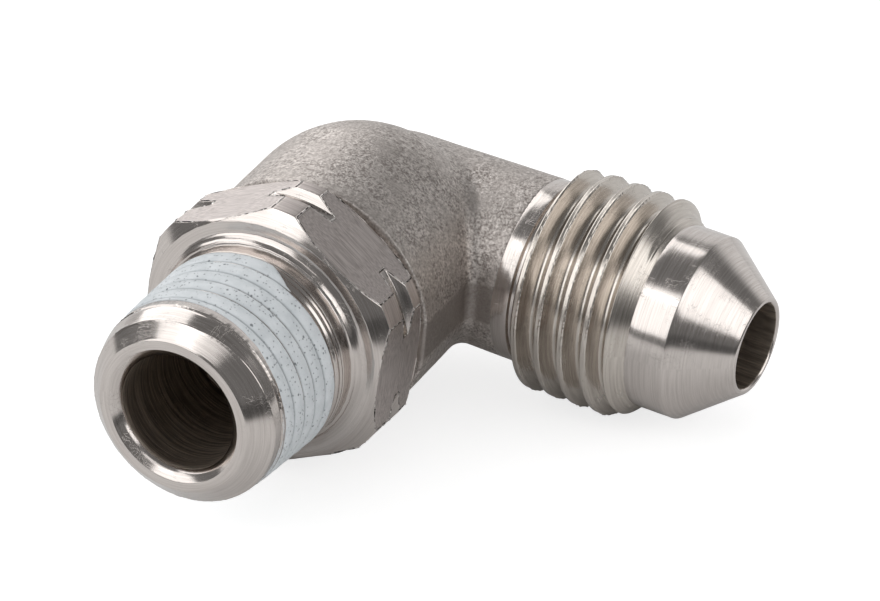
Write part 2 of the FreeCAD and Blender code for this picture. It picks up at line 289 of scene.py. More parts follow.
# Skin: the blasted grain, a third of a millimetre wide and fainter on the lands, over the forging's
# slow unevenness.
off_parting = add(t, "ShaderNodeMath", z, operation="ABSOLUTE")
grained = add(t, "ShaderNodeMapRange", off_parting, LAND_HALF - 0.2, LAND_HALF + 0.2, 0.45, 1.0)
grain = add(t, "ShaderNodeTexNoise", in_mm, named={"Scale": 3.0, "Detail": 2.0, "Roughness": 0.6})
grain = add(t, "ShaderNodeMath", grain, 0.5, operation="SUBTRACT")
grain = add(t, "ShaderNodeMath", grain, grained, operation="MULTIPLY")
skin = add(t, "ShaderNodeMath", grain, size["Grain Height"], skin, operation="MULTIPLY_ADD")
swell = add(t, "ShaderNodeTexNoise", in_mm, named={"Scale": 0.4, "Detail": 1.0})
swell = add(t, "ShaderNodeMath", swell, 0.5, operation="SUBTRACT")
skin = add(t, "ShaderNodeMath", swell, size["Unevenness"], skin, operation="MULTIPLY_ADD")

# Ends: both arms are cut square where the machined ends take over.
for along_arm, face in ((station, BARREL_FACE), (x, NECK_FACE)):
    past = add(t, "ShaderNodeMath", along_arm, face, operation="SUBTRACT")
    skin = add(t, "ShaderNodeMath", skin, past, operation="MAXIMUM")

# Bores: the wide one closes in a drill point past the crossing, and the narrow one starts there.
from_axis = add(t, "ShaderNodeCombineXYZ", x, z)
wide = add(t, "ShaderNodeVectorMath", from_axis, out=1, operation="LENGTH")
wide = add(t, "ShaderNodeMath", wide, WIDE_BORE_R, operation="SUBTRACT")
point_slope = math.tan(math.radians(DRILL_HALF_ANGLE))
before_point = add(t, "ShaderNodeMath", station, -point_slope, -point_slope * DRILL_END,
                   operation="MULTIPLY_ADD")
before_point = add(t, "ShaderNodeMath", before_point, wide, operation="ADD")
before_point = add(t, "ShaderNodeMath", before_point, math.cos(math.radians(DRILL_HALF_ANGLE)),
                   operation="MULTIPLY")
wide = add(t, "ShaderNodeMath", wide, before_point, operation="MAXIMUM")
from_axis = add(t, "ShaderNodeCombineXYZ", y, z)
narrow = add(t, "ShaderNodeVectorMath", from_axis, out=1, operation="LENGTH")
narrow = add(t, "ShaderNodeMath", narrow, NARROW_BORE_R, operation="SUBTRACT")
before = add(t, "ShaderNodeMath", x, -1.0, operation="MULTIPLY")
narrow = add(t, "ShaderNodeMath", narrow, before, operation="MAXIMUM")
bores = add(t, "ShaderNodeMath", wide, narrow, operation="MINIMUM")
metal = add(t, "ShaderNodeMath", bores, -1.0, operation="MULTIPLY")
metal = add(t, "ShaderNodeMath", metal, skin, operation="MAXIMUM")

# The distance becomes a density that is one half at the skin, and the skin is drawn there.
density = add(t, "ShaderNodeMath", metal, -1 / SOFT_SPAN, 0.5, operation="MULTIPLY_ADD")
steps = {"Resolution " + axis: int((high - low) / VOXEL)
         for axis, low, high in zip("XYZ", SOLID_LOW, SOLID_HIGH)}
cloud = add(t, "GeometryNodeVolumeCube", density, named={
    "Min": [v * MM for v in SOLID_LOW], "Max": [v * MM for v in SOLID_HIGH], **steps})
shell = add(t, "GeometryNodeVolumeToMesh", cloud, named={"Threshold": 0.5, "Adaptivity": 0.0})
smooth = add(t, "GeometryNodeSetShadeSmooth", shell)
real = add(t, "GeometryNodeRealizeInstances", smooth)
plated = add(t, "GeometryNodeSetMaterial", real, named={"Material": blasted})
in_bore = add(t, "ShaderNodeMath", bores, BORE_SKIN, operation="LESS_THAN")
done = add(t, "GeometryNodeSetMaterial", plated, in_bore, named={"Material": bore_brass_and_shade})
add(t, "NodeGroupOutput", done)


def made_by(tree, name):
    """Plain mesh object from a tree, at its named inputs' defaults."""
    holder = bpy.data.objects.new(name + "_maker", bpy.data.meshes.new(name + "_maker"))
    bpy.context.scene.collection.objects.link(holder)
    modifier = holder.modifiers.new(name, "NODES")
    modifier.node_group = tree
    for item in tree.interface.items_tree:
        if item.in_out == "INPUT" and item.socket_type != "NodeSocketGeometry":
            modifier[item.identifier] = item.default_value
    mesh = bpy.data.meshes.new_from_object(holder.evaluated_get(bpy.context.evaluated_depsgraph_get()))
    mesh.name = name
    if mesh.materials[0] is None:
        mesh.materials.pop(index=0)
    bpy.data.objects.remove(holder)
    made = bpy.data.objects.new(name, mesh)
    bpy.context.scene.collection.objects.link(made)
    return made


def face_outwards(piece):
    """Merge doubled points, drop slivers, point all faces outwards and shade them smooth."""
    work = bmesh.new()
    work.from_mesh(piece.data)
    bmesh.ops.remove_doubles(work, verts=work.verts, dist=1e-7)
    bmesh.ops.dissolve_degenerate(work, edges=work.edges, dist=1e-8)
    bmesh.ops.recalc_face_normals(work, faces=work.faces)
    work.to_mesh(piece.data)
    work.free()
    for polygon in piece.data.polygons:
        polygon.use_smooth = True


forging = made_by(elbow_tree, "forged_elbow")
face_outwards(forging)
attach(forging, "root")
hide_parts("elbow_body")

# Spanner hexagon with the shoulder in front of it: turned round from the same forging, then six flats
# are milled. The corners keep their turned chamfers, a groove is turned round them, and the milling
# cutter leaves small burrs along their edges.
APOTHEM, CORNER_R, HEX_TURN = 6.42, 7.05, -2.8
EDGE_ROUNDING, HEX_STEP = 0.03, 0.16
FLAT_PLACES, CORNER_PLACES = 15, 7
LEAST_EDGE, MOST_EDGE = 1.6, 28.0
BURR_HEIGHT, BURR_ROOM, CLEAR_OF_FLAT = 0.045, 0.05, 0.01
BEAD_MEAN, BEAD_SPREAD, BEAD_MOST = 0.4, 0.5, 1.2
HEX_PROFILE = [
    (9.40, WIDE_BORE_R), (9.40, 6.27), (9.60, 6.30), (10.10, CORNER_R), (10.80, CORNER_R), (11.10, 6.64),
    (11.58, 6.64), (11.88, CORNER_R), (13.19, CORNER_R), (13.84, 6.31), (13.84, 5.86), (13.87, 5.73),
    (13.93, 5.62), (14.02, 5.51), (14.14, 5.42), (14.24, 5.38), (14.27, 5.27), (14.32, 5.25),
    (15.02, 5.235), (15.02, 4.60), (15.04, WIDE_BORE_R),
]


def split_long(profile, longest):
    """A profile with its long runs divided."""
    result = [profile[0]]
    for start, end in zip(profile, profile[1:]):
        start, end = np.array(start), np.array(end)
        count = max(1, math.ceil(np.linalg.norm(end - start) / longest))
        result += [start + (end - start) * i / count for i in range(1, count + 1)]
    return np.array(result)


def rounded(profile, radius, steps=3):
    """A profile with its inner corners rounded by a small radius."""
    points = [np.array(p, float) for p in profile]
    result = [points[0]]
    for before, corner, after in zip(points, points[1:], points[2:]):
        one, two = before - corner, after - corner
        reach = min(radius, np.linalg.norm(one) * 0.45, np.linalg.norm(two) * 0.45)
        start = corner + one / np.linalg.norm(one) * reach
        end = corner + two / np.linalg.norm(two) * reach
        for i in range(steps + 1):
            f = i / steps
            result.append(start * (1 - f) ** 2 + corner * 2 * f * (1 - f) + end * f ** 2)
    return result + [points[-1]]


def ring_mesh(name, station, radius, angle, arm):
    """Closed skin of rings: station, radius and angle are arrays of ring by place round it, in mm."""
    rings, places = radius.shape
    if arm == "taper":
        points = np.stack([radius * np.cos(angle), -station, radius * np.sin(angle)], -1)
    else:
        points = np.stack([station, radius * np.cos(angle), radius * np.sin(angle)], -1)
    faces = []
    for i in range(rings):
        for j in range(places):
            k, l = (i + 1) % rings, (j + 1) % places
            faces.append((i * places + j, i * places + l, k * places + l, k * places + j))
    mesh = bpy.data.meshes.new(name)
    mesh.from_pydata((points.reshape(-1, 3) * MM).tolist(), [], faces)
    made = bpy.data.objects.new(name, mesh)
    bpy.context.scene.collection.objects.link(made)
    face_outwards(made)
    return made


# Each ring's places gather at both edges of each flat, where the burr stands up between two shallow
# furrows. All of these are degrees round the axis, but for the burr's shape.
hex_profile = split_long(rounded(HEX_PROFILE, EDGE_ROUNDING), HEX_STEP)
burrs = np.random.default_rng(41)
near_edge = np.array([-1.2, -0.8, -0.5, -0.25, 0.0, 0.25, 0.5, 0.8, 1.2])
burr_shape = [0.0, 0.0, -0.4, 0.0, 1.0, 0.0, -0.4, 0.0, 0.0]
over_flat = np.linspace(-1, 1, FLAT_PLACES)
edge_width = near_edge[-1] + BURR_ROOM
ring_angles, ring_radii = [], []
for station, radius in hex_profile:
    edge = math.degrees(math.acos(min(1.0, APOTHEM / max(radius, APOTHEM))))
    edge = min(max(edge, LEAST_EDGE), MOST_EDGE)
    angles, lifts = [], []
    for k in range(6):
        middle, following = k * 60, (k + 1) * 60
        corner = np.linspace(middle + edge + edge_width, following - edge - edge_width, CORNER_PLACES)[1:-1]
        runs = (middle - edge + near_edge, middle + over_flat * (edge - edge_width),
                middle + edge + near_edge, corner)
        angles += [angle for run in runs for angle in run]
        lifts += [*burr_shape, *[0.0] * len(over_flat), *burr_shape, *[0.0] * len(corner)]
    angles, lifts = np.array(angles), np.array(lifts)
    beads = np.clip(burrs.normal(BEAD_MEAN, BEAD_SPREAD, len(lifts)), 0.0, BEAD_MOST)
    lifts *= np.where(lifts > 0, beads, 1.0) * BURR_HEIGHT
    order = np.argsort(angles, kind="stable")
    angles, lifts = angles[order], lifts[order]
    gap = np.radians((angles + 30) % 60 - 30)
    plane = APOTHEM / np.cos(gap)
    ring_angles.append(np.radians(angles + HEX_TURN))
    ring_radii.append(np.minimum(plane, radius) + (lifts if radius > APOTHEM + CLEAR_OF_FLAT else 0.0))
places = len(ring_angles[0])
hexagon = ring_mesh("spanner_hexagon", np.repeat(hex_profile[:, 0:1], places, 1),
                    np.array(ring_radii), np.array(ring_angles), "taper")


def machined(name, arm, tones, roughness, mark_height, mark_scale, waviness=0.003):
    """Bright nickel over cut brass: fine rings round one arm from the tool's feed, and hairlines."""
    material = bpy.data.materials.new(name)
    material.use_nodes = True
    tree = material.node_tree
    tree.nodes.clear()
    place = add(tree, "ShaderNodeTexCoord", out=3)
    in_mm = add(tree, "ShaderNodeVectorMath", place, named={"Scale": 1 / MM}, operation="SCALE")
    px, py, pz = add(tree, "ShaderNodeSeparateXYZ", in_mm).node.outputs
    station, side = (py, px) if arm == "taper" else (px, py)
    from_axis = add(tree, "ShaderNodeCombineXYZ", side, pz)
    reach = add(tree, "ShaderNodeVectorMath", from_axis, out=1, operation="LENGTH")
    turn = add(tree, "ShaderNodeMath", pz, side, operation="ARCTAN2")
    feed = add(tree, "ShaderNodeCombineXYZ", station, reach, turn)
    feed = add(tree, "ShaderNodeVectorMath", feed, (mark_scale, mark_scale, 1.5), operation="MULTIPLY")
    marks = add(tree, "ShaderNodeTexNoise", feed, named={"Scale": 1.0, "Detail": 3.0, "Roughness": 0.65})
    broad = add(tree, "ShaderNodeTexNoise", in_mm, named={"Scale": 0.8, "Detail": 2.0})
    sheen = add(tree, "ShaderNodeMath", broad, 0.10, roughness - 0.10, operation="MULTIPLY_ADD")
    sheen = add(tree, "ShaderNodeMath", marks, 0.10, sheen, operation="MULTIPLY_ADD")
    tone = add(tree, "ShaderNodeValToRGB", marks)
    low_tone, high_tone = tone.node.color_ramp.elements
    low_tone.position, low_tone.color = 0.30, linear(tones[0])
    high_tone.position, high_tone.color = 0.62, linear(tones[1])
    bump = add(tree, "ShaderNodeBump", named={"Height": marks, "Distance": mark_height * MM})
    bump = add(tree, "ShaderNodeBump", named={"Height": broad, "Distance": waviness * MM, "Normal": bump})
    for hairline_stretch in ((0.5, 5.0, 4.0), (4.5, 0.6, 3.0)):
        drawn = add(tree, "ShaderNodeVectorMath", in_mm, hairline_stretch, operation="MULTIPLY")
        drawn = add(tree, "ShaderNodeTexNoise", drawn, named={"Scale": 1.0, "Detail": 1.0})
        drawn = add(tree, "ShaderNodeMath", drawn, 0.5, 0.006, operation="COMPARE")
        worn = add(tree, "ShaderNodeMapRange", broad, 0.52, 0.60)
        drawn = add(tree, "ShaderNodeMath", drawn, worn, operation="MULTIPLY")
        bump = add(tree, "ShaderNodeBump",
                   named={"Height": drawn, "Distance": -0.0015 * MM, "Normal": bump})
    shader = add(tree, "ShaderNodeBsdfPrincipled", tone, 1.0, sheen, named={"Normal": bump})
    add(tree, "ShaderNodeOutputMaterial", shader)
    return material


# Turned nickel: bright, with rings about 0.07 mm apart that comb the edge of each reflection, a slow
# waviness, and hairline scratches in worn patches. Milled nickel: the same plate, duller, over a
# cutter's deeper marks.
turned_taper = machined("turned_nickel_taper_end", "taper", ("C8C0BB", "DCD5D0"), 0.17, 0.0012, 14.0)
milled = machined("milled_nickel_flats", "taper", ("ADA39F", "DED5D1"), 0.36, 0.0070, 16.0)

# Raised nickel burrs along the flats' edges: beads about a tenth of a millimetre long, painted near black
# and near white as painted shade and painted glints, so that each edge reads as a crisp line.
burr_glints_and_shade = bpy.data.materials.new("nickel_burr_painted_glints_and_shade")
burr_glints_and_shade.use_nodes = True
tree = burr_glints_and_shade.node_tree
tree.nodes.clear()
place = add(tree, "ShaderNodeTexCoord", out=3)
in_mm = add(tree, "ShaderNodeVectorMath", place, named={"Scale": 1 / MM}, operation="SCALE")
beads = add(tree, "ShaderNodeTexNoise", in_mm, named={"Scale": 4.5, "Detail": 2.0})
tone = add(tree, "ShaderNodeValToRGB", beads)
low_tone, high_tone = tone.node.color_ramp.elements
# Near black and near white: painted shade and painted glints along the burr beads.
low_tone.position, low_tone.color = 0.46, linear("2E2A28")
high_tone.position, high_tone.color = 0.58, linear("F2EEEA")
shader = add(tree, "ShaderNodeBsdfPrincipled", tone, 1.0, 0.35)
add(tree, "ShaderNodeOutputMaterial", shader)

# The flats and the narrow bands on the corners show the cutter's marks, a thin strip on each edge carries
# the burrs' painted glints and painted shade, the bore is drilled and the rest is turned. Spans and radii
# are in millimetres, from the crossing and the axis, and the other limits are in degrees, but for the slope
# of an upright face.
TURNED, MILLED, DRILLED, BURR_GLINTS = range(4)
OVER_CORNERS, FLAT_SPAN, GLINT_STRIP_SPAN = (9.6, 13.83), (9.7, 13.84), (9.7, 13.8)
FLAT_LEAST_R, CORNER_BAND, BORE_BAND = 6.35, 0.03, 0.02
UPRIGHT_SLOPE, SQUARE_ON = 0.2, 1.0
GLINT_STRIP_HALF, GLINT_STRIP_FROM = 0.27, 3.0

for material in (turned_taper, milled, bore_brass_and_shade, burr_glints_and_shade):
    hexagon.data.materials.append(material)
stations = hex_profile[:, 0]
over_corners = hex_profile[(stations > OVER_CORNERS[0]) & (stations < OVER_CORNERS[1])]
for polygon in hexagon.data.polygons:
    centre, normal = polygon.center / MM, polygon.normal
    along_arm, from_axis = -centre.y, math.hypot(centre.x, centre.z)
    off_flat = (math.degrees(math.atan2(normal.z, normal.x)) - HEX_TURN + 30) % 60 - 30
    upright = abs(normal.y) < UPRIGHT_SLOPE
    on_flat = upright and abs(off_flat) < SQUARE_ON and from_axis > FLAT_LEAST_R
    on_flat = on_flat and FLAT_SPAN[0] < along_arm < FLAT_SPAN[1]
    on_corner = upright and from_axis > CORNER_R - CORNER_BAND
    in_bore = from_axis < WIDE_BORE_R + BORE_BAND
    polygon.material_index = MILLED if on_flat or on_corner else DRILLED if in_bore else TURNED
    turned_r = float(np.interp(along_arm, over_corners[:, 0], over_corners[:, 1]))
    gap = abs((math.degrees(math.atan2(centre.z, centre.x)) - HEX_TURN + 30) % 60 - 30)
    edge = math.degrees(math.acos(min(1.0, APOTHEM / turned_r)))
    on_edge = abs(gap - edge) < GLINT_STRIP_HALF and edge > GLINT_STRIP_FROM
    # The strip along each edge takes the burrs' painted glints and painted shade.
    if on_edge and GLINT_STRIP_SPAN[0] < along_arm < GLINT_STRIP_SPAN[1] and from_axis > FLAT_LEAST_R:
        polygon.material_index = BURR_GLINTS
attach(hexagon, "root")
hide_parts("elbow_body")

# Pipe nose: the taper thread's metal, part of the same forging, bare at its front end and at the
# run-out behind the film. The forty-five degree chamfer cuts into the thread's first turn, so that its
# upper edge changes in radius round the end, and the bore is countersunk.
TAPER_END, END_CREST_R, END_RIM_R = 22.33, 5.0, 3.99
CHAMFER_TURNS = [(0, 5.03), (8, 5.02), (30, 4.93), (51, 4.87), (64, 4.835), (82, 4.745), (125, 4.745),
                 (180, 4.80), (270, 4.95), (330, 5.02), (360, 5.03)]
RUN_OUT_RINGS = [(15.02, 5.20), (15.16, 5.20), (15.20, 5.16), (15.30, 5.15), (15.35, 5.19), (15.52, 5.185),
                 (15.57, 5.13), (15.74, 5.12), (15.80, 5.17), (16.0, 5.165), (16.05, 5.10), (19.0, 5.04)]
BELOW_CREST = [(19.6, 0.13), (19.95, 0.10), (20.15, 0.0), (20.56, 0.0)]
BURR_AT, NOSE_BURR, RIM_BURR = 20.60, 0.035, 0.6
FIRST_GROOVE = [(20.63, 4.955), (20.66, 4.955), (20.70, 5.015), (20.74, 5.025)]
FRONT_CREST_AT, FRONT_CREST_R = 20.74, 5.03
COUNTERSINK = [(22.33, 3.96), (22.33, 3.75), (22.33, 3.53), (22.31, 3.50), (22.08, 3.26),
               (21.85, WIDE_BORE_R)]
BORE_FROM, BORE_TO, BORE_RINGS = 21.5, 15.02, 24
NOSE_AROUND, RING_STEP = 480, 0.3


def taper_crest(station):
    """Radius over the taper thread, which grows by a thirty-second of the way in from the end."""
    return END_CREST_R + (TAPER_END - station) / 32


angle = np.linspace(0, 2 * math.pi, NOSE_AROUND, endpoint=False)
first_turn = np.interp(np.degrees(angle), *zip(*CHAMFER_TURNS))
chamfer_at = TAPER_END + END_RIM_R - first_turn
burr = np.clip(np.random.default_rng(17).normal(0.0, 0.5, NOSE_AROUND), 0.0, 1.0) * NOSE_BURR
nose_rows = list(split_long(RUN_OUT_RINGS, RING_STEP))
nose_rows += [(s, taper_crest(s) - below) for s, below in BELOW_CREST]
nose_rows += [(BURR_AT, taper_crest(BURR_AT) + burr), *FIRST_GROOVE]
for share in (0.15, 0.5, 0.85, 0.97):
    nose_rows.append((FRONT_CREST_AT * (1 - share) + chamfer_at * share,
                      FRONT_CREST_R * (1 - share) + first_turn * share))
nose_rows.append((chamfer_at, first_turn + burr * RIM_BURR))
for share in (0.03, 0.15, 0.3, 0.45, 0.6, 0.75, 0.9, 0.97):
    nose_rows.append((chamfer_at * (1 - share) + TAPER_END * share,
                      first_turn * (1 - share) + END_RIM_R * share))
nose_rows += COUNTERSINK
nose_rows += [(s, WIDE_BORE_R) for s in np.linspace(BORE_FROM, BORE_TO, BORE_RINGS)]
station = np.stack([np.broadcast_to(s, angle.shape) for s, r in nose_rows])
radius = np.stack([np.broadcast_to(r, angle.shape) for s, r in nose_rows])
nose = ring_mesh("pipe_nose", station, radius, np.broadcast_to(angle, radius.shape), "taper")
for material in (turned_taper, bore_brass_and_shade):
    nose.data.materials.append(material)
for polygon in nose.data.polygons:
    from_axis = math.hypot(polygon.center.x, polygon.center.z)
    polygon.material_index = int(from_axis < (WIDE_BORE_R + BORE_BAND) * MM)
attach(nose, "root")
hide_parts("elbow_body")

# Sealant: white film that is brushed on the taper thread and dries there, soft and matt. It fills the
# grooves, sinks to a crease between one turn and the next, and ends unevenly at both edges.
FILM_PITCH, FILM_THICKNESS = 25.4 / 27, 0.05
CREASE_AT, CREASE_DEPTH, CREASE_HALF = 18.55, 0.10, 0.06
TURNS_BEHIND, ROWS_END = 6, 21.0
HOLLOW_DEPTH, LUMP_HEIGHT, EDGE_RIPPLE = 0.05, 0.006, 0.035
BACK_FADE_AT, BACK_FADE = (15.4, 16.6), (0.25, 1.0)
FRONT_FADE_OVER, FRONT_FADE_LEAST = 0.35, 0.15
EDGE_THINS_OVER, EDGE_SINKS = 0.10, 0.02
FILM_MIDDLE, FILM_SUNK = 18.0, 0.30
FILM_STEPS, FILM_AROUND = 24, 400
FRONT_EDGE = [(0, 20.6), (15, 20.6), (40, 20.42), (65, 20.2), (93, 19.98), (200, 19.98), (290, 20.6),
              (360, 20.6)]
BACK_EDGE = [(0, 15.8), (62, 15.8), (66, 15.72), (80, 14.97), (230, 14.97), (290, 15.8), (360, 15.8)]

# Both edges of the film wander round the nose, each with its own ripple.
angle = np.linspace(0, 2 * math.pi, FILM_AROUND, endpoint=False)
ripple = np.random.default_rng(3)
edges = []
for turns in (FRONT_EDGE, BACK_EDGE):
    edge_line = np.interp(np.degrees(angle), *zip(*turns))
    for n in (3, 5, 8, 13, 21, 34):
        height = EDGE_RIPPLE / n ** 0.5 * ripple.normal()
        edge_line += height * np.cos(n * angle + ripple.uniform(0, 2 * math.pi))
    edges.append(edge_line)
front_edge, back_edge = edges

# Rows wind round with the thread's pitch and stop at both edges. The skin dips at each crease, hollows
# between the creases, thins towards the edges and is a little lumpy.
first_row = CREASE_AT - TURNS_BEHIND * FILM_PITCH
row_count = math.ceil((ROWS_END - first_row) / FILM_PITCH) * FILM_STEPS + 1
rows = first_row + np.arange(row_count) * FILM_PITCH / FILM_STEPS
wound = rows[:, None] + FILM_PITCH * angle / (2 * math.pi)
film_along = np.clip(wound, back_edge, front_edge)
phase = (film_along - CREASE_AT) / FILM_PITCH - angle / (2 * math.pi)
off_crease = np.abs(phase - np.round(phase)) * FILM_PITCH
depth = np.interp(film_along, BACK_FADE_AT, BACK_FADE)
depth *= np.clip((front_edge - film_along) / FRONT_FADE_OVER, FRONT_FADE_LEAST, 1.0)
crease = np.exp(-(off_crease / CREASE_HALF) ** 2) * CREASE_DEPTH * depth
hollow = (0.5 + 0.5 * np.cos(2 * math.pi * off_crease / FILM_PITCH)) * HOLLOW_DEPTH * depth
edge_gap = np.minimum(film_along - back_edge, front_edge - film_along)
thin = np.exp(-edge_gap / EDGE_THINS_OVER) * (FILM_THICKNESS + EDGE_SINKS)
lumps = LUMP_HEIGHT * np.sin(film_along * 9.1 + 3 * np.cos(angle * 7)) * np.sin(angle * 23 + film_along * 4)
film_over = taper_crest(film_along) + FILM_THICKNESS - crease - hollow - thin + lumps
inner = taper_crest(FILM_MIDDLE) - FILM_SUNK
film_station = np.vstack([film_along, front_edge[None], back_edge[None]])
film_radius = np.vstack([film_over, np.full((2, FILM_AROUND), inner)])
points = np.stack([film_radius * np.cos(angle), -film_station, film_radius * np.sin(angle)], -1)

# The rows wind like the thread, so the last place round joins the first place one pitch further on.
faces = []
total = row_count + 2
for i in range(total):
    k = (i + 1) % total
    for j in range(FILM_AROUND):
        l = (j + 1) % FILM_AROUND
        a, b = i, k
        if l == 0:
            a, b = [min(v + FILM_STEPS, row_count - 1) if v < row_count else v for v in (i, k)]
        faces.append((i * FILM_AROUND + j, a * FILM_AROUND + l,
                      b * FILM_AROUND + l, k * FILM_AROUND + j))
mesh = bpy.data.meshes.new("thread_sealant_film")
mesh.from_pydata((points.reshape(-1, 3) * MM).tolist(), [], faces)
film = bpy.data.objects.new("thread_sealant_film", mesh)
bpy.context.scene.collection.objects.link(film)
face_outwards(film)

# Dried sealant: matt, a cool white that clouds slowly, with round grey specks up to 0.17 mm wide and
# fine pores, and painted shade darkening it along the creases.
sealant = bpy.data.materials.new("dried_white_thread_sealant")
sealant.use_nodes = True
tree = sealant.node_tree
tree.nodes.clear()
place = add(tree, "ShaderNodeTexCoord", out=3)
in_mm = add(tree, "ShaderNodeVectorMath", place, named={"Scale": 1 / MM}, operation="SCALE")
cells = add(tree, "ShaderNodeTexVoronoi", in_mm, named={"Scale": 3.0}).node.outputs
chance = add(tree, "ShaderNodeSeparateColor", cells["Color"])
speck_size = add(tree, "ShaderNodeMapRange", chance, 0.50, 1.0, 0.0, 0.26)
inside = add(tree, "ShaderNodeMath", speck_size, cells["Distance"], operation="SUBTRACT")
speck = add(tree, "ShaderNodeMapRange", inside, 0.0, 0.05)
cells = add(tree, "ShaderNodeTexVoronoi", in_mm, named={"Scale": 7.0}).node.outputs
chance = add(tree, "ShaderNodeSeparateColor", cells["Color"])
speck_size = add(tree, "ShaderNodeMapRange", chance, 0.40, 1.0, 0.0, 0.42)
inside = add(tree, "ShaderNodeMath", speck_size, cells["Distance"], operation="SUBTRACT")
small = add(tree, "ShaderNodeMapRange", inside, 0.0, 0.10, 0.0, 0.8)
speck = add(tree, "ShaderNodeMath", speck, small, operation="MAXIMUM")
px, py, pz = add(tree, "ShaderNodeSeparateXYZ", in_mm).node.outputs
turn = add(tree, "ShaderNodeMath", pz, px, operation="ARCTAN2")
along_turns = add(tree, "ShaderNodeMath", turn, 1 / (2 * math.pi), operation="MULTIPLY")
along_turns = add(tree, "ShaderNodeMath", py, 1 / FILM_PITCH, along_turns, operation="MULTIPLY_ADD")
along_turns = add(tree, "ShaderNodeMath", along_turns, CREASE_AT / FILM_PITCH, operation="ADD")
# Painted shade: the tone darkens along each crease line.
off_line = add(tree, "ShaderNodeMath", along_turns, 0.5, operation="PINGPONG")
crease_painted_shade = add(tree, "ShaderNodeMapRange", off_line, 0.025, 0.08, 0.60, 0.0)
cloudy = add(tree, "ShaderNodeTexNoise", in_mm, named={"Scale": 1.2, "Detail": 4.0})
tone = add(tree, "ShaderNodeValToRGB", cloudy)
low_tone, high_tone = tone.node.color_ramp.elements
low_tone.position, low_tone.color = 0.35, linear("C6CBCE")
high_tone.position, high_tone.color = 0.65, linear("D4D8DB")
specks_and_crease_shade = add(tree, "ShaderNodeMath", speck, 0.9, operation="MULTIPLY")
specks_and_crease_shade = add(tree, "ShaderNodeMath", specks_and_crease_shade, crease_painted_shade, operation="MAXIMUM")
mixed = add(tree, "ShaderNodeMix", specks_and_crease_shade, out=2, data_type="RGBA", named={6: tone, 7: linear("757B7F")})
pores = add(tree, "ShaderNodeTexNoise", in_mm, named={"Scale": 9.0, "Detail": 4.0})
height = add(tree, "ShaderNodeMath", pores, speck, operation="SUBTRACT")
bump = add(tree, "ShaderNodeBump", named={"Height": height, "Strength": 0.8, "Distance": 0.00005})
shader = add(tree, "ShaderNodeBsdfPrincipled", mixed, 0.0, 0.62, named={"Normal": bump})
add(tree, "ShaderNodeOutputMaterial", shader)
film.data.materials.append(sealant)
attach(film, "root")
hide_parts("thread_sealant")

# Flare thread: twenty turns to the inch, cut right-handed in the forging's brass with a sixty degree
# tool, then plated. The crests are narrow and flat, and the cut leaves a beaded burr along the front
# edge of each.
THREAD_BACK, THREAD_FRONT = 8.82, 15.12
PITCH, CREST_R, ROOT_R, CREST_AT = 1.27, 5.63, 4.87, 10.106
CREST_HALF, ROOT_HALF = 0.13, 0.07
BACK_R, FRONT_R, INNER_R = 4.45, 4.67, 4.10
FLANK_POWER, BACK_SLOPE = 1.35, 3.0
THREAD_BURR, THREAD_BURR_HALF = 0.07, 0.06
TEAR_STRETCH, TEAR_FROM, TEAR_FULL = (3.5, 25.0, 25.0), 0.42, 0.64
ROWS_PER_TURN, THREAD_AROUND = 32, 540

turns_back = math.ceil((CREST_AT - THREAD_BACK) / PITCH) + 1
first_crest = CREST_AT - turns_back * PITCH
thread_rows = math.ceil((THREAD_FRONT - first_crest) / PITCH) * ROWS_PER_TURN

# The same turned nickel as at the taper end, and a duller one with marks 0.1 mm apart where the thread
# was cut.
turned_flare = machined("turned_nickel_flare_end", "flare", ("C8C0BB", "DCD5D0"), 0.17, 0.0012, 14.0)
cut_thread = machined("cut_nickel_thread", "flare", ("BFB7AF", "DAD3CB"), 0.25, 0.0016, 10.0)

thread_tree = bpy.data.node_groups.new("flare_thread", "GeometryNodeTree")
for name, default in (
        ("Pitch", PITCH), ("Crest Radius", CREST_R), ("Root Radius", ROOT_R),
        ("Crest Half Width", CREST_HALF), ("Root Half Width", ROOT_HALF), ("Back", THREAD_BACK),
        ("Front", THREAD_FRONT), ("Crest Place", first_crest), ("Back Radius", BACK_R),
        ("Front Radius", FRONT_R), ("Burr Height", THREAD_BURR), ("Inner Radius", INNER_R)):
    socket = thread_tree.interface.new_socket(name, in_out="INPUT", socket_type="NodeSocketFloat")
    socket.default_value = default
thread_tree.interface.new_socket("Geometry", in_out="OUTPUT", socket_type="NodeSocketGeometry")
t = thread_tree
size = t.nodes.new("NodeGroupInput").outputs

# A flat sheet is wound round the arm. Each of its rows keeps one place on the thread's form all the
# way round, so that it ends one pitch further on, where the merge sews it to the row that starts there.
sheet = add(t, "GeometryNodeMeshGrid", 1.0, float(thread_rows), THREAD_AROUND + 1, thread_rows + 1)
flat_place = add(t, "GeometryNodeInputPosition")
sheet_x, sheet_y = add(t, "ShaderNodeSeparateXYZ", flat_place).node.outputs[:2]
share = add(t, "ShaderNodeMath", sheet_x, 0.5, operation="ADD")
theta = add(t, "ShaderNodeMath", share, 2 * math.pi, operation="MULTIPLY")
cosine = add(t, "ShaderNodeMath", theta, operation="COSINE")
sine = add(t, "ShaderNodeMath", theta, operation="SINE")
row = add(t, "ShaderNodeMath", sheet_y, thread_rows / 2, operation="ADD")
turns = add(t, "ShaderNodeMath", row, float(ROWS_PER_TURN), operation="DIVIDE")
wound = add(t, "ShaderNodeMath", turns, share, operation="ADD")
wound = add(t, "ShaderNodeMath", wound, size["Pitch"], size["Crest Place"], operation="MULTIPLY_ADD")
on_part = add(t, "ShaderNodeMath", wound, size["Front"], operation="MINIMUM")
on_part = add(t, "ShaderNodeMath", on_part, size["Back"], operation="MAXIMUM")

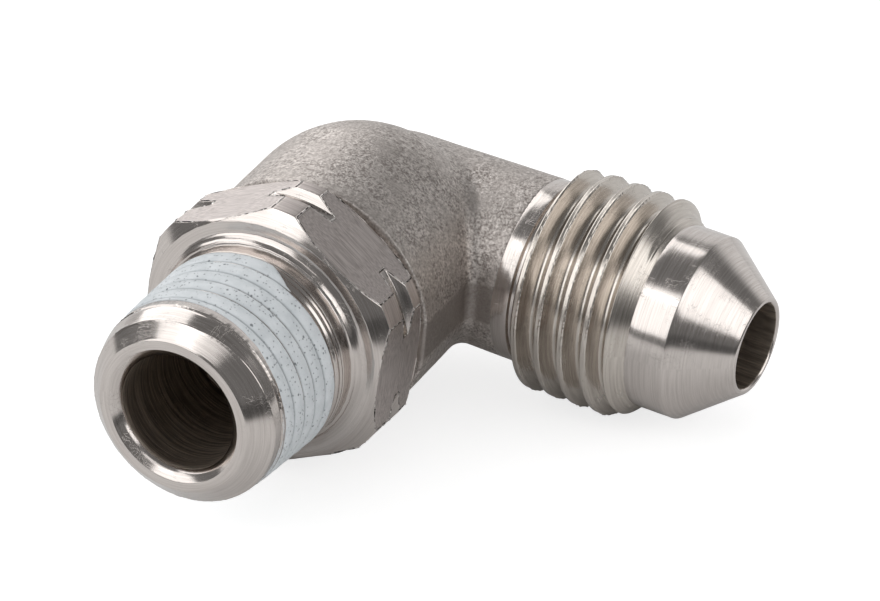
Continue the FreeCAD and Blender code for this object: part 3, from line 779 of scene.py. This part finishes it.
# Form: a narrow flat crest, flanks a little hollow, and a narrower root.
nearest = add(t, "ShaderNodeMath", turns, operation="ROUND")
off_crest = add(t, "ShaderNodeMath", turns, nearest, operation="SUBTRACT")
off_crest = add(t, "ShaderNodeMath", off_crest, size["Pitch"], operation="MULTIPLY")
away = add(t, "ShaderNodeMath", off_crest, operation="ABSOLUTE")
half_pitch = add(t, "ShaderNodeMath", size["Pitch"], 0.5, operation="MULTIPLY")
root_edge = add(t, "ShaderNodeMath", half_pitch, size["Root Half Width"], operation="SUBTRACT")
still_up = add(t, "ShaderNodeMapRange", away, size["Crest Half Width"], root_edge, 1.0, 0.0)
still_up = add(t, "ShaderNodeMath", still_up, FLANK_POWER, operation="POWER")
thread_depth = add(t, "ShaderNodeMath", size["Crest Radius"], size["Root Radius"], operation="SUBTRACT")
thread_r = add(t, "ShaderNodeMath", still_up, thread_depth, size["Root Radius"], operation="MULTIPLY_ADD")

# Burr: torn in beads along the crest's front edge.
round_part = add(t, "ShaderNodeCombineXYZ", on_part, cosine, sine)
round_part = add(t, "ShaderNodeVectorMath", round_part, TEAR_STRETCH, operation="MULTIPLY")
tear = add(t, "ShaderNodeTexNoise", round_part, named={"Scale": 1.0, "Detail": 2.0, "Roughness": 0.7})
tear = add(t, "ShaderNodeMapRange", tear, TEAR_FROM, TEAR_FULL)
off_burr = add(t, "ShaderNodeMath", off_crest, size["Crest Half Width"], operation="SUBTRACT")
off_burr = add(t, "ShaderNodeMath", off_burr, operation="ABSOLUTE")
near_burr = add(t, "ShaderNodeMapRange", off_burr, 0.0, THREAD_BURR_HALF, 1.0, 0.0)
burr = add(t, "ShaderNodeMath", tear, near_burr, operation="MULTIPLY")
thread_r = add(t, "ShaderNodeMath", burr, size["Burr Height"], thread_r, operation="MULTIPLY_ADD")

# Ends: a forty-five degree chamfer in front, and a steeper run-out behind.
from_front = add(t, "ShaderNodeMath", size["Front"], on_part, operation="SUBTRACT")
front_limit = add(t, "ShaderNodeMath", from_front, size["Front Radius"], operation="ADD")
from_back = add(t, "ShaderNodeMath", on_part, size["Back"], operation="SUBTRACT")
back_limit = add(t, "ShaderNodeMath", from_back, BACK_SLOPE, size["Back Radius"],
                 operation="MULTIPLY_ADD")
thread_r = add(t, "ShaderNodeMath", thread_r, front_limit, operation="MINIMUM")
thread_r = add(t, "ShaderNodeMath", thread_r, back_limit, operation="MINIMUM")

# A second sheet of four rings closes the thread inside, where it is sunk into the core.
inner_sheet = add(t, "GeometryNodeMeshGrid", 1.0, 3.0, THREAD_AROUND + 1, 4)
inner_row = add(t, "ShaderNodeMath", sheet_y, 1.5, operation="ADD")
is_middle = add(t, "ShaderNodeMath", inner_row, 1.5, 0.75, operation="COMPARE")
is_front = add(t, "ShaderNodeMath", inner_row, 1.5, operation="GREATER_THAN")
inner_station = add(t, "ShaderNodeMapRange", is_front, 0.0, 1.0, size["Back"], size["Front"])
rim_r = add(t, "ShaderNodeMapRange", is_front, 0.0, 1.0, size["Back Radius"], size["Front Radius"])
inner_r = add(t, "ShaderNodeMapRange", is_middle, 0.0, 1.0, rim_r, size["Inner Radius"])
skins = t.nodes.new("GeometryNodeJoinGeometry")
for flat_sheet, radius, station in ((sheet, thread_r, on_part), (inner_sheet, inner_r, inner_station)):
    across_y = add(t, "ShaderNodeMath", radius, cosine, operation="MULTIPLY")
    across_z = add(t, "ShaderNodeMath", radius, sine, operation="MULTIPLY")
    place = add(t, "ShaderNodeCombineXYZ", station, across_y, across_z)
    place = add(t, "ShaderNodeVectorMath", place, named={"Scale": MM}, operation="SCALE")
    t.links.new(add(t, "GeometryNodeSetPosition", flat_sheet, named={"Position": place}), skins.inputs[0])
closed = add(t, "GeometryNodeMergeByDistance", skins.outputs[0], named={"Distance": 2e-7})
real = add(t, "GeometryNodeRealizeInstances", closed)
done = add(t, "GeometryNodeSetMaterial", real, named={"Material": cut_thread})
add(t, "NodeGroupOutput", done)

thread = made_by(thread_tree, "flare_thread")
face_outwards(thread)
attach(thread, "root")
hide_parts("elbow_body")

# Flare seat: turned from the forging's brass and plated, with the ring on the neck, the core under the
# thread, the plain nose and the seat of thirty-seven degrees that the flared tube is pressed on. The
# narrow bore is drilled right through it.
SEAT_PROFILE = [
    (7.70, NARROW_BORE_R), (7.70, 4.64), (8.58, 4.66), (8.62, 4.45), (8.86, 4.45), (8.90, 4.38),
    (15.06, 4.38), (15.08, 4.672), (17.12, 4.671), (19.95, 2.50), (20.0, 2.42), (20.0, 2.29),
    (19.9, NARROW_BORE_R), (7.70, NARROW_BORE_R),
]
SEAT_AROUND = 400

profile = split_long(rounded(SEAT_PROFILE, EDGE_ROUNDING), RING_STEP)[:-1]
angle = np.linspace(0, 2 * math.pi, SEAT_AROUND, endpoint=False)
seat = ring_mesh("flare_seat", np.repeat(profile[:, 0:1], SEAT_AROUND, 1),
                 np.repeat(profile[:, 1:2], SEAT_AROUND, 1),
                 np.repeat(angle[None], len(profile), 0), "flare")
for material in (turned_flare, bore_brass_and_shade):
    seat.data.materials.append(material)
for polygon in seat.data.polygons:
    from_axis = math.hypot(polygon.center.y, polygon.center.z)
    polygon.material_index = int(from_axis < (NARROW_BORE_R + BORE_BAND) * MM)
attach(seat, "root")
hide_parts("elbow_body")
